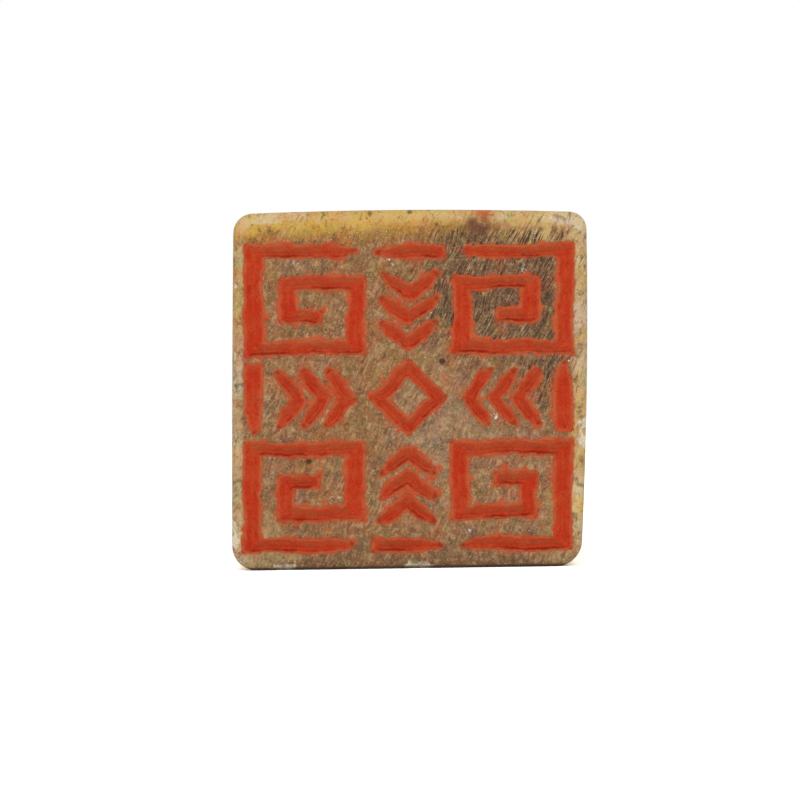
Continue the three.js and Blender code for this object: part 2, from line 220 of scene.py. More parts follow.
# The materials
FACE_LOOK = (1.7, 0.6)  # how far behind the face its colours end, and are still full
SHADED_FOOT = (0.28, 0.12)  # heights above the floor at which the painted shade along the block's foot ends, and is full
SCRATCH_ANGLE = math.radians(67)  # of the grinding scratches, above the level
STREAK_WANDER = (4.0, 1.6)  # size of the scratches' wander, and how far they wander
BUMP_DEPTH = 0.03  # of the grain that only the materials have
STONE_SPECULAR = 0.25
PASTE_SPECULAR = 0.1
PASTE_ROUGHNESS = 0.9

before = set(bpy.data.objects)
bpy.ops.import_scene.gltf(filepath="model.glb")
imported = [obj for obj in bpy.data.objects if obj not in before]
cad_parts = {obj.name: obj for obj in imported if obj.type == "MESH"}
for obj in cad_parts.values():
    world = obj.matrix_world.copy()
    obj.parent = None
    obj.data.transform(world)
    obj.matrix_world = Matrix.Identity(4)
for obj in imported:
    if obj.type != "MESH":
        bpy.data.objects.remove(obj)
cad_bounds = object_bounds()
low, high = (np.array(corner) / MM for corner in cad_bounds)
FACE_Y, END_Y = low[1], high[1]
MIDDLE = np.array([(low[0] + high[0]) / 2, (low[2] + high[2]) / 2])


# Fields


def noise(u, v, size, seed):
    """Smooth unevenness from -1 to 1 over places (u, v), with features about that size across."""
    values = np.random.default_rng(seed).uniform(-1, 1, (LATTICE, LATTICE))
    u, v = np.asarray(u) / size + NOISE_SHIFT[0], np.asarray(v) / size + NOISE_SHIFT[1]
    i, j = np.floor(u).astype(int), np.floor(v).astype(int)
    s, t = u - i, v - j
    s, t = s * s * (3 - 2 * s), t * t * (3 - 2 * t)
    i0, j0, i1, j1 = i % LATTICE, j % LATTICE, (i + 1) % LATTICE, (j + 1) % LATTICE
    near = values[i0, j0] * (1 - s) + values[i1, j0] * s
    far = values[i0, j1] * (1 - s) + values[i1, j1] * s
    return near * (1 - t) + far * t


def layered(u, v, layers, seed):
    """The sum of several noises, each given as (size, height)."""
    return sum(h * noise(u, v, size, seed + k) for k, (size, h) in enumerate(layers))


def smoothstep(value, start, end):
    t = np.clip((value - start) / (end - start), 0, 1)
    return t * t * (3 - 2 * t)


def softened(field, times=1):
    """The field, blurred over its nearest neighbours."""
    for _ in range(times):
        for axis in (0, 1):
            padded = np.concatenate([field.take([0], axis), field, field.take([-1], axis)], axis)
            count = field.shape[axis]
            before = padded.take(range(count), axis)
            after = padded.take(range(2, count + 2), axis)
            field = (before + 2 * field + after) / 4
    return field


def grown(cells):
    """The cells that are set, or next to one that is."""
    out = cells.copy()
    out[1:] |= cells[:-1]
    out[:-1] |= cells[1:]
    sides = out.copy()
    out[:, 1:] |= sides[:, :-1]
    out[:, :-1] |= sides[:, 1:]
    return out


def distance_from(cells, reach, cell):
    """How far each cell is from the nearest that is set, up to the reach."""
    most = math.ceil(reach / cell)
    distance = np.full(cells.shape, reach)
    padded = np.pad(cells, most)
    for i in range(-most, most + 1):
        for j in range(-most, most + 1):
            shifted = padded[most + i :, most + j :][: cells.shape[0], : cells.shape[1]]
            distance = np.where(shifted, np.minimum(distance, math.hypot(i, j) * cell), distance)
    return distance


# Probing the solids


class Solid:
    """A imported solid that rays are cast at."""

    def __init__(self, node):
        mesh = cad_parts[node].data
        places = [vertex.co / MM for vertex in mesh.vertices]
        self.tree = BVHTree.FromPolygons(places, [face.vertices for face in mesh.polygons])

    def hits(self, starts, directions):
        """Where each ray first meets the solid. A ray that misses gives nan."""
        out = np.full((len(starts), 3), np.nan)
        for k, (start, direction) in enumerate(zip(starts, directions)):
            place = self.tree.ray_cast(Vector(start), Vector(direction))[0]
            if place is not None:
                out[k] = place
        return out

    def depths(self, x, z):
        """How far behind the face's plane each place (x, z) of the solid's front lies."""
        starts = np.stack([x.ravel(), np.full(x.size, FACE_Y - PROBE), z.ravel()], 1)
        hits = self.hits(starts, np.tile([0.0, 1.0, 0.0], (x.size, 1)))
        return (hits[:, 1] - FACE_Y).reshape(x.shape)


def outline(stone, y, count):
    """The stone's outline at y as 4 * count places, anticlockwise from the middle of its lower left
    corner."""
    angles = np.linspace(-math.pi, math.pi, OUTLINE_RAYS, endpoint=False)
    spokes = np.stack([np.cos(angles), np.zeros_like(angles), np.sin(angles)], 1)
    centre = np.array([MIDDLE[0], y, MIDDLE[1]])
    reach = np.linalg.norm(high - low)
    ring = stone.hits(centre + spokes * reach, -spokes)[:, [0, 2]]
    diagonals = [(-1, -1), (1, -1), (1, 1), (-1, 1)]
    corners = [int(np.argmax((ring - MIDDLE) @ np.array(d))) for d in diagonals]
    ring = np.roll(ring, -corners[0], 0)
    corners = [(c - corners[0]) % len(ring) for c in corners] + [len(ring)]
    closed = np.concatenate([ring, ring[:1]])
    sides = []
    for first, last in zip(corners, corners[1:]):
        side = closed[first : last + 1]
        travel = np.concatenate([[0], np.cumsum(np.linalg.norm(np.diff(side, axis=0), axis=1))])
        wanted = np.linspace(0, travel[-1], count, endpoint=False)
        sides.append(np.stack([np.interp(wanted, travel, side[:, axis]) for axis in (0, 1)], 1))
    return np.concatenate(sides)


def eased(values, reach):
    """The values round a ring, each as the mean of those that are up to that many places away."""
    return np.mean([np.roll(values, k, 0) for k in range(-reach, reach + 1)], 0)


def outward(ring, easing=EASING):
    """The outward direction at each place of an anticlockwise ring, eased over a share of its length."""
    along = eased(np.roll(ring, -2, 0) - np.roll(ring, 2, 0), round(len(ring) * easing))
    along /= np.linalg.norm(along, axis=1)[:, None]
    return np.stack([along[:, 1], -along[:, 0]], 1)


def shares(one, other, axis):
    """How far along each place of a side lies, from 0 to 1, as the mean of two opposite sides."""
    lines = np.stack([one, other])[..., axis]
    lines = lines - lines[:, :1]
    return (lines / lines[:, -1:]).mean(0)


def spread(ring):
    """A grid of places that fills a ring of 4 * n places without a fold, as an array [i, j] of (x, z)."""
    n = len(ring) // 4
    bottom, right = ring[: n + 1], ring[n : 2 * n + 1]
    top = ring[2 * n : 3 * n + 1][::-1]
    left = np.concatenate([ring[3 * n :], ring[:1]])[::-1]
    s = shares(bottom, top, 0)[:, None, None]
    t = shares(left, right, 1)[None, :, None]
    level = (1 - t) * bottom[:, None] + t * top[:, None]
    upright = (1 - s) * left[None] + s * right[None]
    shared = (1 - t) * ((1 - s) * bottom[0] + s * bottom[-1]) + t * ((1 - s) * top[0] + s * top[-1])
    return level + upright - shared


def rim_of(grid):
    """The grid's outermost entries in the order of the ring that it was spread from."""
    return np.concatenate([grid[:-1, 0], grid[-1, :-1], grid[:0:-1, -1], grid[0, :0:-1]])


# Meshes


def piece(name, places, faces, fields, material, nodes):
    """A smooth mesh through places, which stands for those nodes, with a named value at each place."""
    mesh = bpy.data.meshes.new(name)
    mesh.from_pydata((places * MM).tolist(), [], faces)
    mesh.polygons.foreach_set("use_smooth", [True] * len(mesh.polygons))
    for field, values in fields.items():
        attribute = mesh.attributes.new(field, "FLOAT", "POINT")
        attribute.data.foreach_set("value", np.asarray(values, np.float32))
    mesh.materials.append(material)
    mesh.update()
    made = bpy.data.objects.new(name, mesh)
    bpy.context.scene.collection.objects.link(made)
    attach(made, "root")
    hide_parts(*nodes)


def grid_faces(index, turned=False):
    """Four-sided faces over a grid of vertex numbers. They face the front, or the back if turned."""
    corners = [index[:-1, :-1], index[1:, :-1], index[1:, 1:], index[:-1, 1:]]
    if turned:
        corners.reverse()
    return np.stack([c.ravel() for c in corners], 1).tolist()


def band_faces(front, back):
    """Faces between a ring of vertex numbers and the next ring behind it, which has as many or half."""
    if len(front) == len(back):
        after_front, after_back = np.roll(front, -1), np.roll(back, -1)
        return np.stack([front, back, after_back, after_front], 1).tolist()
    even, odd = front[0::2], front[1::2]
    after_even, after_back = np.roll(even, -1), np.roll(back, -1)
    parts = [(even, back, odd), (odd, back, after_back), (odd, after_back, after_even)]
    return [face for part in parts for face in np.stack(part, 1).tolist()]


def ringed(values, count):
    """One value for each side of a ring as one for each of its places, eased over round the corners."""
    return eased(np.repeat(values, count // 4).astype(float), count // WEAR_TURN)


def worn_by(distance, wear):
    """How worn a place is, by its distance from an edge as a share of the width of the edge's worn band."""
    return wear * smoothstep(distance, *WEAR_FADE)


class Face:
    """The carved face as a grid: where each of its places is, and how deep the stone lies there."""

    def __init__(self, stone, section):
        ring = section - FACE_ARRIS * outward(section)
        grid = spread(ring)
        self.x, self.z = grid[..., 0], grid[..., 1]
        self.cell = np.linalg.norm(grid[1:, 0] - grid[:-1, 0], axis=1).mean()
        wear, width = [ringed(values, len(ring)) for values in zip(*FACE_WEAR.values())]
        share, nearest = self.nearest(ring, width)
        self.worn = worn_by(share, wear[nearest])
        fade = smoothstep(self.nearest(ring, np.ones(len(ring)))[0], 0, WANDER_FADE)
        self.cut_x = self.x + fade * layered(self.x, self.z, RAGGEDNESS, CUT_X_SEED)
        self.cut_z = self.z + fade * layered(self.x, self.z, RAGGEDNESS, CUT_Z_SEED)
        depth = stone.depths(self.cut_x, self.cut_z)
        self.cut = np.where(np.isnan(depth), 0, depth)
        self.depth = self.cut + layered(self.x, self.z, FACE_GRINDING, FACE_SEED) * fade

    def nearest(self, ring, widths):
        """How far each place lies from the ring, as a share of the width that the ring has there, and the
        number of the ring's place that is nearest by that share."""
        least, nearest = np.full(self.x.shape, np.inf), np.zeros(self.x.shape, int)
        for first in range(0, len(ring), RING_STRIDE):
            (x0, z0), (x1, z1) = ring[first], ring[(first + RING_STRIDE) % len(ring)]
            run = np.array([x1 - x0, z1 - z0])
            along = ((self.x - x0) * run[0] + (self.z - z0) * run[1]) / (run @ run)
            along = np.clip(along, 0, 1)
            gap = np.hypot(self.x - x0 - along * run[0], self.z - z0 - along * run[1]) / widths[first]
            nearest = np.where(gap < least, first, nearest)
            least = np.minimum(gap, least)
        return least, nearest

    def window(self, corners, margin):
        """The part of the grid round a box, as a pair of slices."""
        (x0, _, z0), (x1, _, z1) = (np.array(corner) / MM for corner in corners)
        inside = (self.x > x0 - margin) & (self.x < x1 + margin)
        inside &= (self.z > z0 - margin) & (self.z < z1 + margin)
        columns, rows = np.flatnonzero(inside.any(1)), np.flatnonzero(inside.any(0))
        return slice(columns[0], columns[-1] + 1), slice(rows[0], rows[-1] + 1)


# The stone


def build_stone(stone, face, section, covered, material):
    """The stone as one closed mesh: the face's grid, rings round and along the block, and the end's grid.
    Each place is told how worn it is, how deep it lies in a pit, how far it is from the paste, whether it
    was broken off, and how far it is below the top."""
    places, faces = [], []
    fields = {"worn": [], "pit": [], "stain": [], "broken": [], "top": []}

    def add(points, worn, pit=0, stain=STAIN_REACH, broken=0, top=STAIN_REACH):
        first = sum(len(p) for p in places)
        places.append(points)
        for name, values in zip(fields, (worn, pit, stain, broken, top)):
            fields[name].append(np.broadcast_to(values, len(points)).astype(float))
        return np.arange(first, first + len(points))

    # Round the worn edge, from the face to the sides
    stone_section = section[::FINER]
    normals = outward(stone_section)
    cell = face.cell * FINER
    travel = np.arange(len(stone_section)) * cell
    arris_rings, chipped = [], np.zeros(len(travel), bool)
    for k in range(1, ARRIS_RINGS + 1):
        turn = math.pi / 2 * k / ARRIS_RINGS
        across = turn * FACE_ARRIS
        aim, ray = arris(stone_section, normals, FACE_Y + FACE_ARRIS, FACE_ARRIS, turn, -1)
        hits = stone.hits(aim - PROBE * ray, ray)
        bite = np.einsum("ij,ij->i", hits - aim, ray) + FACE_ARRIS
        rough = smoothstep(bite, *CHIP_ROUGH) * layered(travel, across, CHIP_GRAIN, CHIP_SEED)
        nick = nicks(travel, across) * math.sin(2 * turn)
        points = hits + ray * (nick + rough)[:, None]
        arris_rings.append((points, NICK_PALE * smoothstep(nick, *NICK_SEEN)))
        chipped |= bite > CHIP_DEPTH

    # The face, which the bruise round a chip reaches onto
    chips = stone_section[chipped]
    broken = np.where(covered, 0, bruise(chips, face.x, face.z))
    pit = softened(np.where(covered | (broken > BRUISED), 0, face.cut), 3)
    stain = softened(distance_from(covered, STAIN_REACH, face.cell))
    top = below_top(section, face.x, face.z)
    grid = np.stack([face.x, FACE_Y + face.depth, face.z], -1)
    grid = grid[::FINER, ::FINER]
    on_face = [field[::FINER, ::FINER] for field in (face.worn, pit, stain, broken, top)]
    numbers = add(grid.reshape(-1, 3), *(field.ravel() for field in on_face)).reshape(grid.shape[:2])
    faces += grid_faces(numbers)
    ring = rim_of(numbers)
    rim_worn, _, rim_stain, _, rim_top = (rim_of(field) for field in on_face)
    for points, nicked in arris_rings:
        broken = np.maximum(nicked, bruise(chips, points[:, 0], points[:, 2]))
        added = add(points, rim_worn, 0, rim_stain, broken, rim_top)
        faces += band_faces(ring, added)
        ring = added

    # Along the sides
    section, normals, travel = stone_section[::2], normals[::2], travel[::2]
    side = FACE_CELLS * cell
    from_edge = np.minimum(travel % side, side - travel % side)
    edge_worn = worn_by(from_edge / EDGE_WEAR[1], EDGE_WEAR[0])
    inwards = np.stack([-normals[:, 0], np.zeros(len(normals)), -normals[:, 1]], 1)
    first, last = FACE_Y + FACE_ARRIS, END_Y - END_ARRIS
    for k in range(1, SIDE_RINGS + 1):
        y = first + (last - first) * (k / SIDE_RINGS) ** SIDE_CROWDING
        aim = np.stack([section[:, 0], np.full(len(section), y), section[:, 1]], 1)
        hits = stone.hits(aim - PROBE * inwards, inwards)
        sunk = np.maximum(0, layered(travel, y, SIDE_GRINDING, SIDE_SEED))
        sunk = sunk * smoothstep(y, first, first + SIDE_FADE)
        face_worn = worn_by((y - first) / END_WEAR[1], rim_worn[::2])
        end_worn = worn_by((last - y) / END_WEAR[1], END_WEAR[0])
        worn = np.maximum(np.maximum(edge_worn, face_worn), end_worn)
        added = add(hits + inwards * sunk[:, None], worn, top=rim_top[::2] + y - first)
        faces += band_faces(ring, added)
        ring = added

    # Round the ground edge of the handle end, and over the end itself
    foot = hits[:, [0, 2]]
    normals = outward(foot, END_EASING)
    for k in range(1, END_RINGS + 1):
        turn = math.pi / 2 * k / END_RINGS
        aim, ray = arris(foot, normals, END_Y - END_ARRIS, END_ARRIS, math.pi / 2 - turn, 1)
        hits = stone.hits(aim - PROBE * ray, ray)
        if k < END_RINGS:
            added = add(hits, END_WEAR[0])
            faces += band_faces(ring, added)
            ring = added
    end = spread(hits[:, [0, 2]])
    starts = np.stack([end[..., 0], np.full(end.shape[:2], END_Y + PROBE), end[..., 1]], -1)
    starts = starts.reshape(-1, 3)
    hits = stone.hits(starts, np.tile([0.0, -1.0, 0.0], (len(starts), 1)))
    edges = [end[0, 0], end[-1, -1]]
    inset = np.minimum(hits[:, [0, 2]] - edges[0], edges[1] - hits[:, [0, 2]]).min(1)
    sunk = np.maximum(0, layered(hits[:, 0], hits[:, 2], SIDE_GRINDING, END_SEED))
    hits[:, 1] -= sunk * smoothstep(inset, 0, END_FADE)
    numbers = add(hits, worn_by(inset / END_WEAR[1], END_WEAR[0])).reshape(end.shape[:2])
    faces += band_faces(ring, rim_of(numbers))
    faces += grid_faces(numbers, turned=True)

    everything = {name: np.concatenate(values) for name, values in fields.items()}
    points = np.concatenate(places)
    piece("stone_carved", points, faces, everything, material, ["stone_block"])


def arris(section, normals, y, radius, turn, way):
    """Places on the middle line of a rounded edge, and the ray that comes in there at an angle: turn is 0
    for a ray along the block and a right angle for one square to its side."""
    middle = section - radius * normals
    aim = np.stack([middle[:, 0], np.full(len(middle), y), middle[:, 1]], 1)
    aside, along = math.sin(turn), math.cos(turn)
    ray = np.stack(
        [-normals[:, 0] * aside, np.full(len(middle), -way * along), -normals[:, 1] * aside], 1
    )
    return aim, ray


def bruise(chips, x, z):
    """How bruised each (x, z) is, by its distance from the nearest chipped place of the block's edge."""
    least = np.full(x.shape, np.inf)
    for chip_x, chip_z in chips:
        least = np.minimum(least, np.hypot(x - chip_x, z - chip_z))
    return smoothstep(least, CHIP_REACH, 0)


def below_top(section, x, z):
    """How far each (x, z) of the face is below its top edge."""
    n = len(section) // 4
    edge = section[2 * n : 3 * n][::-1]
    return np.interp(x, edge[:, 0], edge[:, 1]) - FACE_ARRIS - z


def nicks(travel, across):
    """How deep small nicks go into a worn edge, by the distance along it and across it."""
    raised = noise(travel, across, NICK_SIZE, NICK_SEED) - NICK_SHARE
    return NICK_DEPTH * np.maximum(0, raised) / (1 - NICK_SHARE)


# The paste


def build_paste(name, face, material):
    """A deposit of paste: a closed sheet that lines its cut, and ends as a thin film on the face round it.
    Round its edge the sheet dips into the stone, so that what shows ends where the two surfaces meet. Gives
    back the places that it covers, as a mask of the face."""
    part = face.window(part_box(name), LAP_REACH * 2)
    x, z, stone_depth = face.x[part], face.z[part], face.depth[part]
    skin = Solid(name).depths(face.cut_x[part], face.cut_z[part])
    inside = ~np.isnan(skin)
    distance = softened(distance_from(inside, 2 * LAP_REACH, face.cell))
    lap = LAP_HEIGHT - LAP_SLOPE * distance + layered(x, z, LAP_RAGGEDNESS, LAP_SEED)
    along = x * math.cos(SCRATCH_ANGLE) + z * math.sin(SCRATCH_ANGLE)
    across = z * math.cos(SCRATCH_ANGLE) - x * math.sin(SCRATCH_ANGLE)
    spurs = noise(along / SPUR_STRETCH, across, SPUR_SIZE, SPUR_SEED)
    lap += SPUR_LIFT * smoothstep(spurs, *SPUR_NOISE)
    lap = np.where(distance < LAP_REACH, lap, -LAP_HEIGHT)
    lining = face.cut[part] - np.where(inside, skin, 0) + layered(x, z, PASTE_GRAIN, PASTE_SEED)
    thickness = softened(np.where(inside, np.maximum(lining, LAP_HEIGHT), lap))

    solid = thickness > 0
    cells = solid[:-1, :-1] | solid[1:, :-1] | solid[1:, 1:] | solid[:-1, 1:]
    cells = largest(without_diagonals(cells))
    used = np.zeros_like(solid)
    for i, j in ((0, 0), (1, 0), (1, 1), (0, 1)):
        used[i : i + cells.shape[0], j : j + cells.shape[1]] |= cells
    count = int(used.sum())
    number = np.full(used.shape, -1)
    number[used] = np.arange(count)
    top = stone_depth - thickness
    bed = np.maximum(stone_depth, top) + PASTE_BED
    sheets = [np.stack([x[used], FACE_Y + depth[used], z[used]], 1) for depth in (top, bed)]

    corners = [number[:-1, :-1], number[1:, :-1], number[1:, 1:], number[:-1, 1:]]
    quads = np.stack([c[cells] for c in corners], 1)
    faces = quads.tolist() + (quads[:, ::-1] + count).tolist()
    padded = np.pad(cells, 1)
    neighbours = [padded[1:-1, :-2], padded[2:, 1:-1], padded[1:-1, 2:], padded[:-2, 1:-1]]
    for side, neighbour in enumerate(neighbours):
        edge = cells & ~neighbour
        start, end = corners[side][edge], corners[(side + 1) % 4][edge]
        faces += np.stack([end, start, start + count, end + count], 1).tolist()

    # The paste's depth, the foot of a steep lower wall, and its tips and corners are where the material
    # darkens it with painted shade
    slope = np.gradient(softened(top), face.cell, axis=1)
    fields = {
        "depth": top,
        "caked_and_shaded": softened(np.clip(slope / STEEP, 0, 1), 4),
        "shed": softened(np.clip(-slope / SHED, 0, 1), 4),
        "margin": softened(distance_from(~inside, MARGIN, face.cell), 2) / MARGIN,
        "tip": smoothstep(softened(inside.astype(float), TIP_BLUR), *TIP_SHARE) * softened(inside, 6),
    }
    fields = {field: np.tile(values[used], 2) for field, values in fields.items()}
    places = np.concatenate(sheets)
    piece(f"{name}_dried", places, faces, fields, material, [name])
    covered = np.zeros(face.x.shape, bool)
    covered[part] = used & solid
    return covered


def without_diagonals(cells):
    """The cells with one more set wherever two of them would touch at a corner only."""
    while True:
        a, b, c, d = cells[:-1, :-1], cells[1:, :-1], cells[:-1, 1:], cells[1:, 1:]
        falling, rising = a & d & ~b & ~c, b & c & ~a & ~d
        if not (falling.any() or rising.any()):
            return cells
        cells = cells.copy()
        cells[1:, :-1] |= falling
        cells[:-1, :-1] |= rising


def largest(cells):
    """The largest group of cells that touch."""
    left, best = cells.copy(), np.zeros_like(cells)
    while left.any():
        group = np.zeros_like(cells)
        group[tuple(np.argwhere(left)[0])] = True
        while True:
            wider = grown(group) & left
            if (wider == group).all():
                break
            group = wider
        if group.sum() > best.sum():
            best = group
        left &= ~group
    return best


# Materials


class Shader:
    """A material, with short names for the nodes that it is made of. Its places are in millimetres."""

    def __init__(self, name):
        self.material = bpy.data.materials.new(name)
        self.material.use_nodes = True
        self.tree = self.material.node_tree
        self.surface = self.tree.nodes["Principled BSDF"]
        object_places = self.add("ShaderNodeTexCoord").outputs["Object"]
        self.place = self.vector("SCALE", object_places, Scale=1 / MM)
        axes = self.add("ShaderNodeSeparateXYZ", {0: self.place})
        self.x, self.y, self.z = axes.outputs

    def add(self, kind, inputs=None, **settings):
        node = self.tree.nodes.new(kind)
        for key, value in settings.items():
            setattr(node, key, value)
        for key, value in (inputs or {}).items():
            self.put(node.inputs[key], value)
        return node

    def put(self, socket, value):
        if isinstance(value, bpy.types.NodeSocket):
            self.tree.links.new(value, socket)
        else:
            socket.default_value = value

    def vector(self, operation, a, b=None, **inputs):
        inputs |= {0: a} if b is None else {0: a, 1: b}
        node = self.add("ShaderNodeVectorMath", inputs, operation=operation)
        return node.outputs["Value" if operation == "DOT_PRODUCT" else "Vector"]

    def math(self, operation, a, b=0.0):
        return self.add("ShaderNodeMath", {0: a, 1: b}, operation=operation).outputs[0]

    def sum(self, *parts):
        total = parts[0]
        for part in parts[1:]:
            total = self.math("ADD", total, part)
        return total

    def times(self, *parts):
        product = parts[0]
        for part in parts[1:]:
            product = self.math("MULTIPLY", product, part)
        return product

    def step(self, value, start, end):
        """0 before start and 1 after end, smooth in between. The start may be the higher of the two."""
        inputs = {0: value, 1: start, 2: end}
        return self.add("ShaderNodeMapRange", inputs, interpolation_type="SMOOTHSTEP").outputs[0]

    def noise_node(self, size, detail, roughness, at, distortion):
        inputs = {
            "Vector": self.place if at is None else at,
            "Scale": 1 / size,
            "Detail": detail,
            "Roughness": roughness,
            "Distortion": distortion,
        }
        return self.add("ShaderNodeTexNoise", inputs)

    def noise(self, size, detail=2.0, roughness=0.5, at=None, distortion=0.0):
        return self.noise_node(size, detail, roughness, at, distortion).outputs["Fac"]

    def hues(self, size):
        """A colour that varies about grey."""
        return self.noise_node(size, 1.0, 0.5, None, 0.0).outputs["Color"]

    def specks(self, size, radius, share):
        """1 inside scattered specks of an uneven shape. The space is divided into cells of that size, and
        that share of them has one."""
        wander = self.vector("SCALE", self.hues(radius), Scale=radius * 1.5)
        at = self.vector("ADD", self.place, wander)
        node = self.add("ShaderNodeTexVoronoi", {"Vector": at, "Scale": 1 / size})
        own = self.add("ShaderNodeSeparateColor", {0: node.outputs["Color"]}).outputs[0]
        inside = self.step(node.outputs["Distance"], radius * 1.15 / size, radius * 0.7 / size)
        return self.times(inside, self.step(own, 1 - share, 1.02 - share))

    def field(self, name):
        return self.add("ShaderNodeAttribute", attribute_name=name).outputs["Fac"]

    def mix(self, amount, a, b, blend="MIX"):
        node = self.add("ShaderNodeMix", data_type="RGBA", blend_type=blend)
        for socket, value in zip((node.inputs[0], node.inputs[6], node.inputs[7]), (amount, a, b)):
            self.put(socket, value)
        return node.outputs[2]

    def bump(self, height, strength):
        """Gives the surface the grain that is too fine for its mesh."""
        inputs = {"Height": height, "Strength": strength, "Distance": BUMP_DEPTH * MM}
        self.put(self.surface.inputs["Normal"], self.add("ShaderNodeBump", inputs).outputs[0])

    def around(self, x, z, radius, soft):
        """1 within the radius of a place of the face, and 0 further out than that by soft. The place is
        measured from the face's middle."""
        across = self.math("SUBTRACT", self.x, MIDDLE[0] + x)
        up = self.math("SUBTRACT", self.z, MIDDLE[1] + z)
        squares = self.sum(self.times(across, across), self.times(up, up))
        wander = self.times(self.math("SUBTRACT", self.noise(soft, 3.0), 0.5), soft)
        return self.step(self.sum(self.math("SQRT", squares), wander), radius + soft, radius)

    def patches(self, *patches):
        """1 within any of the patches."""
        out = self.around(*patches[0])
        for patch in patches[1:]:
            out = self.math("MAXIMUM", out, self.around(*patch))
        return out

    def streaks(self, angle, length, width, detail=2.0):
        """Noise drawn out along a direction of the face, at that angle above the level."""
        along = (math.cos(angle), 0.0, math.sin(angle))
        across = (-math.sin(angle), 0.0, math.cos(angle))
        size, reach = STREAK_WANDER
        at = self.vector("ADD", self.place, self.vector("SCALE", self.hues(size), Scale=reach))
        u, v = self.vector("DOT_PRODUCT", at, along), self.vector("DOT_PRODUCT", at, across)
        parts = {0: self.times(u, 1 / length), 1: self.times(v, 1 / width), 2: self.times(self.y, 0.1)}
        at = self.add("ShaderNodeCombineXYZ", parts).outputs[0]
        return self.noise(1.0, detail, 0.6, at)


